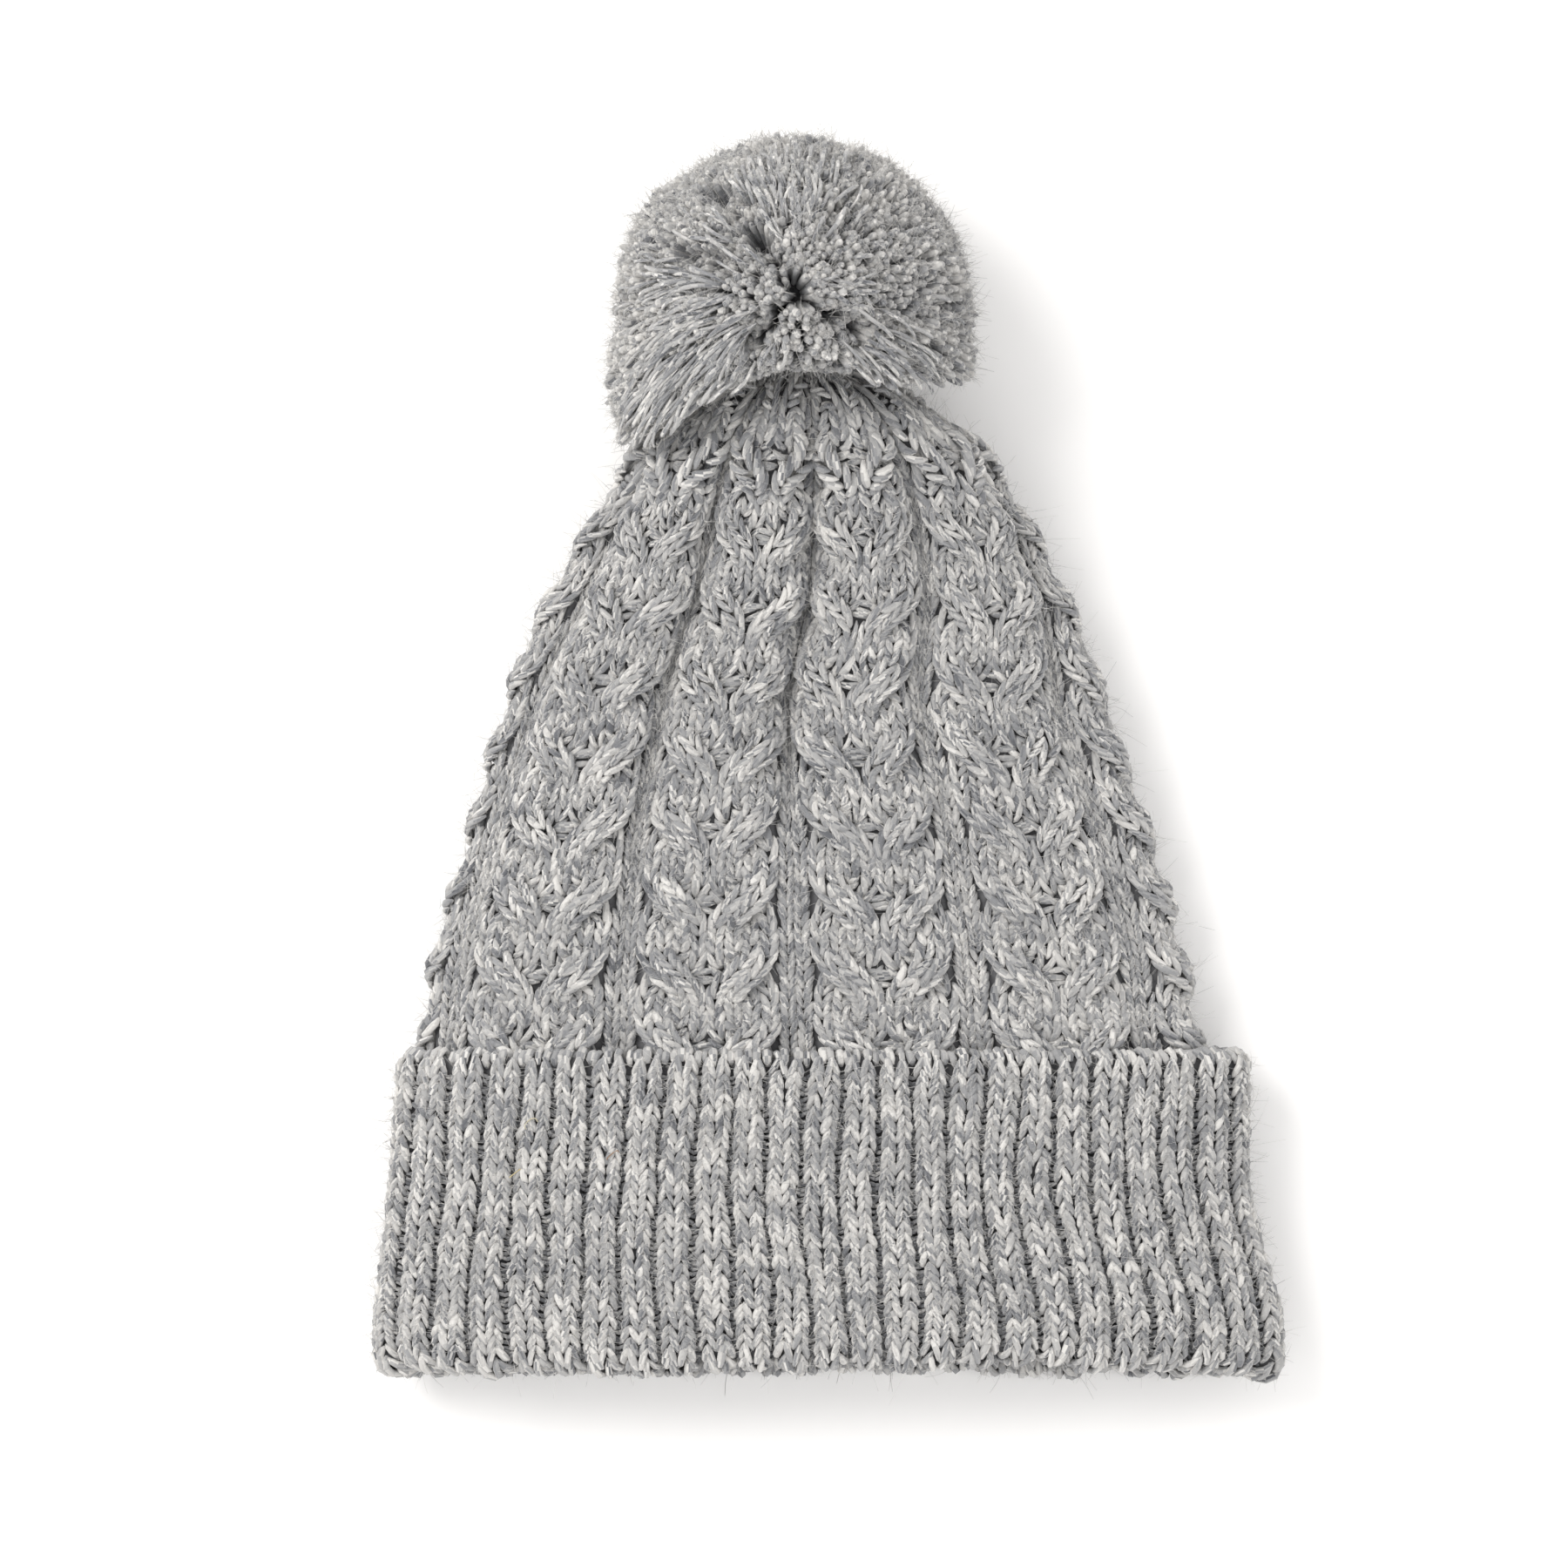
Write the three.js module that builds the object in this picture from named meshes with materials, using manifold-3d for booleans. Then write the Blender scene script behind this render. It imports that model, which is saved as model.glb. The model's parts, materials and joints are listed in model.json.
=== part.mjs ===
// Knitted pom pom beanie, lying flat: brim towards -Y, pom pom towards +Y, front of the hat up.
// Millimetres, +Z up. The origin is the centre of the footprint, on the surface under the hat.

import * as THREE from "three";
import { mergeVertices } from "three/addons/utils/BufferGeometryUtils.js";
import Module from "manifold-3d";

const wasm = await Module();
wasm.setup();

// Fabric
const CUFF_WALL = 4.5;        // ribbed fabric of the turned-up cuff
const BAND_WALL = 4.3;        // the same rib inside the cuff, held flatter
const CROWN_WALL = 5;         // cable fabric, relief included
const GAP = 0.35;             // clearance kept between neighbouring pieces
const PRESS = 0.8;            // how much of the round underside is pressed flat
const SQUARENESS = 2.4;       // superellipse power of the flattened tube's section
const AROUND = 56;            // points around each section

// Cuff: y, half width, centre x
const CUFF_ROWS = [
  [-149.6, 109, 0],
  [-137, 109.6, 0],
  [-106, 104, -2],
  [-71.5, 102.8, -1],
];
const CUFF_HALF_THICKNESS = 18;
const CUFF_CENTRE_Z = CUFF_HALF_THICKNESS - PRESS;
const FOLD_Y = -145.1;        // inside of the fold, where the inner band starts

// Inner band: y, half width, centre x
const BAND_ROWS = [
  [FOLD_Y + GAP, 104.2, 0],
  [-137, 104.5, 0],
  [-106, 98.8, -2],
  [-86, 96.4, -3.2],
  [-70.5, 94, -4.4],
];
const BAND_HALF_THICKNESS = CUFF_HALF_THICKNESS - CUFF_WALL - GAP;

// Crown: y, half width, half thickness, centre x, centre z
const CROWN_ROWS = [
  [-70.1, 94, 13.15, -4.4, 17.2],
  [-58, 92.4, 14.6, -4.8, 15.2],
  [-46, 90, 15.6, -5, 15.4],
  [-28, 84.8, 16.6, -4.6, 16.2],
  [-1, 76.9, 17.6, -5, 17.2],
  [31, 65.8, 19.5, -5.2, 19.3],
  [54, 54, 21.5, -4.4, 23.5],
  [70, 43.2, 22.5, -4.4, 29.5],
  [80, 33, 20, -4.4, 33.5],
  [88, 20, 14, -5, 36],
  [92, 10.5, 9, -5.5, 37],
];
const HOLE_R = 4.5;           // opening left by the gathered last round
const TIP_WALL = 4;           // fabric gathered at the tip, along the tie
const TIP_CAVITY_R = 10;      // inside, just below the tip

// Pom pom, around its own axis: the tie, which runs from the crown tip to the ball's centre
const CROWN_TIP = new THREE.Vector3(-5.5, 92, 37);
const BALL_CENTRE = new THREE.Vector3(-8.7, 109.17, 39.4);
const BALL_R = 42.8;          // across the tie
const BALL_HALF_LENGTH = 40.3; // along the tie
const RIM_R = 38.5;           // where the ball ends around the crown
const RECESS_R = 13;          // flat bottom of the recess, over the crown tip
const RECESS_DEPTH = 12;      // from the ball's centre back to that bottom
const CHANNEL_R = 5;          // way in for the tie
const WAIST_R = 8;            // bundle's waist, where the binding yarn pulls it in
const BINDING_YARN_R = 1.4;
const BINDING_CLEARANCE = 0.5;
const TAIL_YARN_R = 0.8;
const TAIL_SPACING = 1.1;     // each tail's distance from the tie's axis
const KNOT_YARN_R = 0.8;
const BINDING_KNOT_SIZE = 2.1;
const ANCHOR_KNOT_SIZE = 3.8;
const ANCHOR_DEPTH = 10;      // from the crown tip to the middle of the anchor knot
const GATHER_RING_R = 6;
const GATHER_YARN_R = 1;

// Seam and label
const SEAM_YARN_R = 1.2;
const LABEL = { width: 22, length: 32, thickness: 0.8, x: 15, y: -112 };

const paint = (color, roughness) => new THREE.MeshStandardMaterial({ color, roughness, metalness: 0 });
const CABLE_YARN = paint(0xaeaeb2, 0.95);
const RIB_YARN = paint(0xb2b1b4, 0.95);
const POMPOM_YARN = paint(0xb4b3b6, 0.95);
const SEWING_YARN = paint(0x9b9ba0, 0.9);
const LABEL_TAPE = paint(0xe9e7e2, 0.8);

// Value of a column at y, on a smooth curve through the rows
function column(rows, y, index) {
  const last = rows.length - 1;
  let i = 0;
  while (i < last - 1 && y > rows[i + 1][0]) i += 1;
  const slope = (k) => {
    const a = Math.max(k - 1, 0);
    const b = Math.min(k + 1, last);
    return (rows[b][index] - rows[a][index]) / (rows[b][0] - rows[a][0]);
  };
  const [y0, y1] = [rows[i][0], rows[i + 1][0]];
  const [v0, v1] = [rows[i][index], rows[i + 1][index]];
  const h = y1 - y0;
  const t = Math.min(Math.max((y - y0) / h, 0), 1);
  const bend0 = slope(i) * h;
  const bend1 = slope(i + 1) * h;
  const t2 = t * t;
  const t3 = t2 * t;
  return (2 * t3 - 3 * t2 + 1) * v0 + (t3 - 2 * t2 + t) * bend0 + (3 * t2 - 2 * t3) * v1 + (t3 - t2) * bend1;
}

// One section of the flattened tube: a superellipse whose underside never goes below floorZ
function section({ y, halfWidth, halfThickness, x, z, floorZ }) {
  const points = [];
  const round = (v) => Math.sign(v) * Math.abs(v) ** (2 / SQUARENESS);
  for (let i = 0; i < AROUND; i += 1) {
    const angle = (2 * Math.PI * (i + 0.5)) / AROUND;
    const height = z + halfThickness * round(Math.sin(angle));
    points.push([x + halfWidth * round(Math.cos(angle)), y, Math.max(height, floorZ)]);
  }
  return points;
}

// Closed skin through a closed loop of sections, as a ring-shaped solid
function ringSolid(loop) {
  const sections = loop.map(section);
  const position = sections.flat(2);
  const index = [];
  const at = (s, i) => (s % sections.length) * AROUND + (i % AROUND);
  for (let s = 0; s < sections.length; s += 1) {
    for (let i = 0; i < AROUND; i += 1) {
      const [a, b, c, d] = [at(s, i), at(s, i + 1), at(s + 1, i + 1), at(s + 1, i)];
      index.push(a, c, b, a, d, c);
    }
  }
  const geometry = new THREE.BufferGeometry();
  geometry.setAttribute("position", new THREE.Float32BufferAttribute(position, 3));
  geometry.setIndex(index);
  geometry.computeVertexNormals();
  return geometry;
}

function cuffSection(y, inset) {
  return {
    y,
    halfWidth: column(CUFF_ROWS, y, 1) - inset,
    halfThickness: CUFF_HALF_THICKNESS - inset,
    x: column(CUFF_ROWS, y, 2),
    z: CUFF_CENTRE_Z,
    floorZ: inset,
  };
}

// Outer face up, over the cast-on edge, down inside to the fold, and in under the inner band
function cuffGeometry() {
  const middle = [-137, -121, -106, -88];
  const foldInset = CUFF_WALL + GAP + BAND_WALL;
  return ringSolid([
    cuffSection(-149.6, 2.6),
    cuffSection(-148.2, 0.8),
    cuffSection(-145, 0),
    ...middle.map((y) => cuffSection(y, 0)),
    cuffSection(-73, 0),
    cuffSection(-71.5, 0.9),
    cuffSection(-71.5, CUFF_WALL),
    ...middle.toReversed().map((y) => cuffSection(y, CUFF_WALL)),
    cuffSection(FOLD_Y, CUFF_WALL),
    cuffSection(FOLD_Y, foldInset),
    cuffSection(-147.8, foldInset - 0.4),
    cuffSection(-149.6, foldInset - 3),
  ]);
}

function bandSection(y, inset) {
  return {
    y,
    halfWidth: column(BAND_ROWS, y, 1) - inset,
    halfThickness: BAND_HALF_THICKNESS - inset,
    x: column(BAND_ROWS, y, 2),
    z: CUFF_CENTRE_Z,
    floorZ: CUFF_WALL + GAP + inset,
  };
}

function bandGeometry() {
  const stations = [BAND_ROWS[0][0], -137, -121, -106, -86, -70.5];
  const outside = stations.map((y) => bandSection(y, 0));
  const inside = stations.toReversed().map((y) => bandSection(y, BAND_WALL));
  return ringSolid([...outside, ...inside]);
}

function crownSection(y, inset) {
  return {
    y,
    halfWidth: column(CROWN_ROWS, y, 1) - inset,
    halfThickness: column(CROWN_ROWS, y, 2) - inset,
    x: column(CROWN_ROWS, y, 3),
    z: column(CROWN_ROWS, y, 4),
    floorZ: inset,
  };
}

// A round section near the tip, where the last round is gathered
function tipSection(y, radius) {
  const { x, z } = crownSection(y, 0);
  return { y, halfWidth: radius, halfThickness: radius, x, z, floorZ: 0 };
}

function crownGeometry() {
  const stations = [-70.1, -64, -58, -46, -28, -14, -1, 15, 31, 43, 54, 63, 70, 76, 80, 84, 88, 92];
  const outside = stations.map((y) => crownSection(y, 0));
  const inside = stations.filter((y) => y < 82).toReversed().map((y) => crownSection(y, CROWN_WALL));
  const tipY = CROWN_TIP.y;
  const hole = [tipSection(tipY, HOLE_R), tipSection(tipY - TIP_WALL, HOLE_R)];
  return ringSolid([...outside, ...hole, tipSection(tipY - TIP_WALL - 1.5, TIP_CAVITY_R), ...inside]);
}

// Yarn of round section along a smooth open path
function yarnGeometry(points, radius, steps, sides) {
  const circle = new THREE.Shape();
  for (let i = 0; i <= sides; i += 1) {
    const angle = (2 * Math.PI * i) / sides;
    const [x, y] = [radius * Math.cos(angle), radius * Math.sin(angle)];
    if (i === 0) circle.moveTo(x, y);
    else circle.lineTo(x, y);
  }
  const extrudePath = new THREE.CatmullRomCurve3(points);
  return new THREE.ExtrudeGeometry(circle, { steps, bevelEnabled: false, extrudePath });
}

// Seam ridge along the middle of the back, on the inside of band and crown
function seamPoints() {
  const lift = GAP + SEAM_YARN_R;
  const inBand = [-143, -120, -96, -78, -69].map((y) => {
    return new THREE.Vector3(column(BAND_ROWS, y, 2), y, CUFF_WALL + GAP + BAND_WALL + lift);
  });
  const inCrown = [-58, -46, -28, -1, 31, 54, 70].map((y) => {
    const { x, z, halfThickness } = crownSection(y, CROWN_WALL);
    return new THREE.Vector3(x, y, Math.max(z - halfThickness, CROWN_WALL) + lift + 0.25);
  });
  return [...inBand, ...inCrown];
}

// A closed mesh as a manifold solid, and back
function toSolid(geometry) {
  const bare = geometry.clone();
  bare.deleteAttribute("normal");
  bare.deleteAttribute("uv");
  const merged = mergeVertices(bare, 1e-4);
  return new wasm.Manifold(new wasm.Mesh({
    numProp: 3,
    vertProperties: new Float32Array(merged.attributes.position.array),
    triVerts: new Uint32Array(merged.index.array),
  }));
}

function toGeometry(solid) {
  const mesh = solid.getMesh();
  const geometry = new THREE.BufferGeometry();
  geometry.setAttribute("position", new THREE.BufferAttribute(mesh.vertProperties, 3));
  geometry.setIndex(new THREE.BufferAttribute(mesh.triVerts, 1));
  geometry.computeVertexNormals();
  return geometry;
}

const tieDirection = BALL_CENTRE.clone().sub(CROWN_TIP).normalize();
const tieLength = BALL_CENTRE.distanceTo(CROWN_TIP);
const tieTurn = new THREE.Quaternion().setFromUnitVectors(new THREE.Vector3(0, 1, 0), tieDirection);

// Ball of strands around local +Y, with a wide recess over the crown and a channel to its waist
function bundleGeometry() {
  const rimAngle = Math.asin(RIM_R / BALL_R);
  const arcSteps = 16;
  const profile = [];
  for (let i = 0; i <= arcSteps; i += 1) {
    const angle = (Math.PI - rimAngle) * (i / arcSteps);
    profile.push(new THREE.Vector2(BALL_R * Math.sin(angle), BALL_HALF_LENGTH * Math.cos(angle)));
  }
  profile.push(new THREE.Vector2(RIM_R - 13, -RECESS_DEPTH - 2.6));
  profile.push(new THREE.Vector2(RECESS_R, -RECESS_DEPTH));
  profile.push(new THREE.Vector2(0, -RECESS_DEPTH));
  profile[0].x = 0;
  const ball = toSolid(new THREE.LatheGeometry(profile.toReversed(), 40));
  const bindingCavity = toSolid(new THREE.TorusGeometry(WAIST_R, BINDING_YARN_R + BINDING_CLEARANCE, 10, 32)
    .rotateY(Math.PI / 2));
  const channelLength = RECESS_DEPTH + 1 - WAIST_R;
  const channel = toSolid(new THREE.CylinderGeometry(CHANNEL_R, CHANNEL_R, channelLength, 24)
    .translate(0, -WAIST_R - channelLength / 2, 0));
  const pressed = new THREE.BoxGeometry(3 * BALL_R, 3 * BALL_R, BALL_R)
    .translate(0, 0, -BALL_CENTRE.z - BALL_R / 2)
    .applyQuaternion(tieTurn.clone().invert());
  return toGeometry(ball.subtract(bindingCavity).subtract(channel).subtract(toSolid(pressed)));
}

function knotGeometry(size, yarnRadius) {
  return new THREE.TorusKnotGeometry(size, yarnRadius, 44, 6, 2, 3).rotateX(Math.PI / 2);
}

const bindingKnotY = -WAIST_R - BINDING_YARN_R - GAP - BINDING_KNOT_SIZE / 2 - KNOT_YARN_R;
const anchorKnotY = -tieLength - ANCHOR_DEPTH;

// One of the two tails of the binding, from the binding knot down to the anchor knot
function tailGeometry(side) {
  const top = bindingKnotY - BINDING_KNOT_SIZE / 2 - KNOT_YARN_R - GAP;
  const bottom = anchorKnotY + ANCHOR_KNOT_SIZE / 2 + KNOT_YARN_R + GAP;
  const x = side * TAIL_SPACING;
  const points = [top, (2 * top + bottom) / 3, (top + 2 * bottom) / 3, bottom]
    .map((y) => new THREE.Vector3(x, y, 0));
  return yarnGeometry(points, TAIL_YARN_R, 5, 8);
}

function labelGeometry() {
  const { width, length, thickness, x, y } = LABEL;
  const z = CUFF_WALL + BAND_WALL + 2 * GAP + thickness / 2;
  return new THREE.BoxGeometry(width, length, thickness).translate(x, y, z);
}

function piece(name, geometry, material) {
  const mesh = new THREE.Mesh(geometry, material);
  mesh.name = name;
  return mesh;
}

const hat = new THREE.Group();
hat.add(piece("brim_turned_cuff", cuffGeometry(), RIB_YARN));
hat.add(piece("brim_inner_band", bandGeometry(), RIB_YARN));
hat.add(piece("crown_shell", crownGeometry(), CABLE_YARN));
hat.add(piece("back_seam_yarn", yarnGeometry(seamPoints(), SEAM_YARN_R, 36, 8), SEWING_YARN));
hat.add(piece("care_label", labelGeometry(), LABEL_TAPE));
const gatherRing = new THREE.TorusGeometry(GATHER_RING_R, GATHER_YARN_R, 8, 28).rotateX(Math.PI / 2);
const gatherYarn = piece("crown_gather_yarn", gatherRing, SEWING_YARN);
gatherYarn.position.set(CROWN_TIP.x, CROWN_TIP.y + GATHER_YARN_R + GAP, CROWN_TIP.z);
hat.add(gatherYarn);

const pompom = new THREE.Group();
pompom.position.copy(BALL_CENTRE);
pompom.quaternion.copy(tieTurn);
pompom.add(piece("pompom_strand_bundle", bundleGeometry(), POMPOM_YARN));
const bindingRing = new THREE.TorusGeometry(WAIST_R, BINDING_YARN_R, 8, 32).rotateY(Math.PI / 2);
pompom.add(piece("pompom_binding_yarn", bindingRing, SEWING_YARN));
const bindingKnot = piece("pompom_binding_knot", knotGeometry(BINDING_KNOT_SIZE, KNOT_YARN_R), SEWING_YARN);
bindingKnot.position.y = bindingKnotY;
pompom.add(bindingKnot);
pompom.add(piece("pompom_tie_tail_left", tailGeometry(-1), SEWING_YARN));
pompom.add(piece("pompom_tie_tail_right", tailGeometry(1), SEWING_YARN));
const anchorKnot = piece("crown_anchor_knot", knotGeometry(ANCHOR_KNOT_SIZE, KNOT_YARN_R), SEWING_YARN);
anchorKnot.position.y = anchorKnotY;
pompom.add(anchorKnot);

const beanie = new THREE.Group();
beanie.add(hat, pompom);

export default beanie;
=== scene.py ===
# Knitted pom pom beanie lying flat, front up, seen from straight above.
# The knitting is built stitch by stitch, in millimetres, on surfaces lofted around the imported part.
import itertools
import json
import math

import bpy
import numpy as np
from mathutils import Matrix, Vector
from mathutils.kdtree import KDTree


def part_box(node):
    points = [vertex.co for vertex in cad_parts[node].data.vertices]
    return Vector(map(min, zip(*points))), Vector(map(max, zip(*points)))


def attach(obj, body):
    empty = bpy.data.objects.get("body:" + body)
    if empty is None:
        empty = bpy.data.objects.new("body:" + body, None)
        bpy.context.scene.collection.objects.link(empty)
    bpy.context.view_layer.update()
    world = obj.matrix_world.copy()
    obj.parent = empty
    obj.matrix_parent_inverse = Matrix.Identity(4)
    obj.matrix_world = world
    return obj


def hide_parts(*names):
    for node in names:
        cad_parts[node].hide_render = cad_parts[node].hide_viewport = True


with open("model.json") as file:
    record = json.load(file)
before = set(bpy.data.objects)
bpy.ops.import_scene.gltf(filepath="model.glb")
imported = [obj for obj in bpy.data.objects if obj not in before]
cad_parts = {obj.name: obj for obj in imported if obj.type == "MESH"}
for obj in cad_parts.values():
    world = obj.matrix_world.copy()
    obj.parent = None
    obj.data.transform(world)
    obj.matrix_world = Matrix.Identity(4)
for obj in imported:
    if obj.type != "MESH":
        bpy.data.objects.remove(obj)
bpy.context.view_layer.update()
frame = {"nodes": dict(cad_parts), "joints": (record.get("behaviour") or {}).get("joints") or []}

MM = 0.001
SQUARENESS = 2.4              # superellipse power of the flattened tube's section
RANDOM = np.random.default_rng(20)

# Cable knit, counted in stitches
REPEATS = 10                  # cables around the crown
CABLE = 12                    # stitches in a cable
GAP = 3                       # recessed stitches between two cables
REPEAT = CABLE + GAP
WALES = REPEATS * REPEAT
CROSSING = 8                  # rows from one crossing to the next
CROWN_ROW = 2.2               # mm
CROWN_LOW = -84.0             # where the crown's knitting starts, inside the cuff
CROWN_HIGH = 91.5
CROWN_INSET = 2.3             # from the CAD skin in to the knitting's base
CROSSING_START = 6.2          # row of the first crossing's middle
CROWN_ROWS = int((CROWN_HIGH - CROWN_LOW) / CROWN_ROW)

# Two by two rib
RIBS = 49
RIB_ROW = 2.56                # mm
CUFF_TOP = -71.5              # y of the cast-on edge and of the fold's centre
FOLD_CENTRE = -144.4
RIB_INSET = 2.1               # from the cuff's CAD skin in to the knitting's base
BAND_INSET = 2.2              # the same for the inner band
BAND_FLOOR = 7.1              # lowest z of the inner band's knitting
RIB_PAINTED_LIGHT = 0.045              # painted light: how much lighter the ribs' yarn is made than the crown's, offsetting the shade between ribs

# The melange's tones, dark to light
YARN = [
    (0.094, 0.098, 0.109),
    (0.145, 0.149, 0.160),
    (0.203, 0.206, 0.215),
    (0.268, 0.269, 0.274),
    (0.340, 0.337, 0.335),
    (0.422, 0.416, 0.407),
    (0.518, 0.506, 0.488),
    (0.634, 0.619, 0.595),
]
MEAN_TONE = 0.565             # 0 is the darkest of them and 1 the lightest

# ---------- surfaces ----------

def vertices_of(node):
    data = frame["nodes"][node].data
    flat = np.empty(len(data.vertices) * 3)
    data.vertices.foreach_get("co", flat)
    return flat.reshape(-1, 3) / MM


def outline(node, low, high):
    """Rows [y, half width, half thickness, centre x, centre z] of a node's outer skin."""
    points = vertices_of(node)
    rows = []
    for y in np.unique(np.round(points[:, 1], 2)):
        ring = points[np.abs(points[:, 1] - y) < 0.02]
        if not low <= y <= high or len(ring) < 20:
            continue
        left = ring[:, 0].min()
        right = ring[:, 0].max()
        widest = ring[(ring[:, 0] < left + 0.01) | (ring[:, 0] > right - 0.01)]
        z = widest[:, 2].mean()
        rows.append([y, (right - left) / 2, ring[:, 2].max() - z, (left + right) / 2, z])
    wide = [r[1] for r in rows]
    kept = [r for i, r in enumerate(rows) if i in (0, len(rows) - 1)
            or r[1] > 0.93 * min(wide[i - 1], wide[i + 1])]
    return np.array(kept)


def smooth_rows(rows, y):
    """Each column of the rows at the places y, on a smooth curve through them."""
    slope = np.gradient(rows[:, 1:], rows[:, 0], axis=0)
    i = np.clip(np.searchsorted(rows[:, 0], y) - 1, 0, len(rows) - 2)
    step = (rows[i + 1, 0] - rows[i, 0])[:, None]
    t = np.clip((y - rows[i, 0])[:, None] / step, 0, 1)
    start = (2 * t ** 3 - 3 * t ** 2 + 1) * rows[i, 1:] + (t ** 3 - 2 * t ** 2 + t) * step * slope[i]
    end = (3 * t ** 2 - 2 * t ** 3) * rows[i + 1, 1:] + (t ** 3 - t ** 2) * step * slope[i + 1]
    return start + end


def ring_points(shape, floor, share):
    """Points round a flattened section at shares of its length, from its top towards +X.
    shape is [half width, half thickness, centre x, centre z]; share 0 is the middle of the top."""
    angle = np.linspace(0, math.tau, 1441)
    power = 2 / SQUARENESS
    across = shape[2] + shape[0] * np.sign(np.sin(angle)) * np.abs(np.sin(angle)) ** power
    up = shape[3] + shape[1] * np.sign(np.cos(angle)) * np.abs(np.cos(angle)) ** power
    up = np.maximum(up, floor)
    along = np.concatenate([[0], np.cumsum(np.hypot(np.diff(across), np.diff(up)))])
    place = np.mod(share, 1) * along[-1]
    return np.interp(place, along, across), np.interp(place, along, up), along[-1]


def smoothstep(low, high, value):
    t = np.clip((value - low) / (high - low), 0, 1)
    return t * t * (3 - 2 * t)


def varied(count, spread, mean=0):
    """A random value for each of count strands, as a column."""
    return RANDOM.normal(mean, spread, (count, 1))


def unit(v):
    return v / np.maximum(np.linalg.norm(v, axis=-1, keepdims=True), 1e-9)


def grid_normals(grid):
    """Outward normals of a grid [along, around, 3] that closes around."""
    around = np.roll(grid, -1, axis=1) - np.roll(grid, 1, axis=1)
    along = np.gradient(grid, axis=0)
    return unit(np.cross(around, along))


class Surface:
    """A grid of points [row step, wale step], read at fractional wales and rows."""

    def __init__(self, grid, per_wale, per_row):
        self.grid = grid
        self.normals = grid_normals(grid)
        self.per_wale = per_wale
        self.per_row = per_row

    def read(self, values, wale, row):
        rows, around = values.shape[:2]
        i = np.clip(row * self.per_row, 0, rows - 1.001)
        j = np.mod(wale * self.per_wale, around)
        i0 = i.astype(int)
        j0 = j.astype(int) % around
        j1 = (j0 + 1) % around
        fi = (i - i0)[..., None]
        fj = (j - np.floor(j))[..., None]
        near = values[i0, j0] * (1 - fj) + values[i0, j1] * fj
        far = values[i0 + 1, j0] * (1 - fj) + values[i0 + 1, j1] * fj
        return near * (1 - fi) + far * fi

    def at(self, wale, row, height):
        normal = unit(self.read(self.normals, wale, row))
        return self.read(self.grid, wale, row) + normal * height[..., None], normal


# ---------- meshes ----------

def tubes(centre, normal, wide, high, sides):
    """Closed tubes along centre [strand, ring, 3]: their points, and their faces as quads and end caps."""
    ahead = unit(np.gradient(centre, axis=1))
    across = unit(np.cross(normal, ahead))
    up = np.cross(ahead, across)
    angle = np.arange(sides) * math.tau / sides
    turn = np.cos(angle)[:, None] * (across * wide[..., None])[:, :, None, :]
    lift = np.sin(angle)[:, None] * (up * high[..., None])[:, :, None, :]
    points = centre[:, :, None, :] + turn + lift
    strands, rings = centre.shape[:2]
    first = np.arange(strands)[:, None, None] * rings * sides
    low = first + np.arange(rings - 1)[None, :, None] * sides
    here = np.arange(sides)
    after = (here + 1) % sides
    quads = np.stack([low + here, low + after, low + sides + after, low + sides + here], -1)
    start = first[:, 0] + np.arange(sides)[::-1]
    end = first[:, 0] + (rings - 1) * sides + np.arange(sides)
    caps = np.concatenate([start, end], axis=1).reshape(-1, sides)
    return points.reshape(-1, 3), [quads.reshape(-1, 4), caps]


def placed(name, data):
    """A new object with this data, in the scene."""
    thing = bpy.data.objects.new(name, data)
    bpy.context.scene.collection.objects.link(thing)
    return thing


def make_piece(name, body, points, faces, materials, tones):
    """One piece from groups of faces (each an integer array with one row a face), points in mm."""
    mesh = bpy.data.meshes.new(name)
    mesh.vertices.add(len(points))
    mesh.vertices.foreach_set("co", (points * MM).astype(np.float32).ravel())
    sizes = np.concatenate([np.full(len(f), f.shape[1]) for f in faces])
    mesh.loops.add(int(sizes.sum()))
    mesh.loops.foreach_set("vertex_index", np.concatenate([f.ravel() for f in faces]).astype(np.int32))
    mesh.polygons.add(len(sizes))
    starts = np.concatenate([[0], np.cumsum(sizes)[:-1]])
    mesh.polygons.foreach_set("loop_start", starts.astype(np.int32))
    mesh.polygons.foreach_set("material_index", np.concatenate(tones).astype(np.int32))
    mesh.polygons.foreach_set("use_smooth", np.ones(len(sizes), bool))
    for material in materials:
        mesh.materials.append(material)
    mesh.update()
    piece = placed(name, mesh)
    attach(piece, body)
    return piece


def yarn_piece(name, body, slot, centre, normal, wide, high, sides, tone, contrast=1.0):
    """Yarn strands as one piece. tone [strand] or [strand, ring] goes from 0, dark, to 1, light.
    Each strand has streaks of its own, which wind round it as the spun fibres do."""
    points, faces = tubes(centre, normal, wide, high, sides)
    points[:, 2] = np.maximum(points[:, 2], 0.05)
    strands, rings = centre.shape[:2]
    turn = (np.arange(rings - 1)[:, None] + np.arange(sides)) % sides
    streak = RANDOM.normal(0, 0.19, (strands, sides))[:, turn]
    fleck = RANDOM.normal(0, 0.07, (strands, rings - 1, sides))
    shade = tone.reshape(strands, -1, 1) + contrast * (streak + fleck)
    index = np.clip(shade * len(YARN), 0, len(YARN) - 1).astype(int)
    ends = np.repeat(index[:, -1, 0], 2)
    make_piece(name, body, points, faces, yarn_materials, [index.ravel(), ends])


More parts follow.
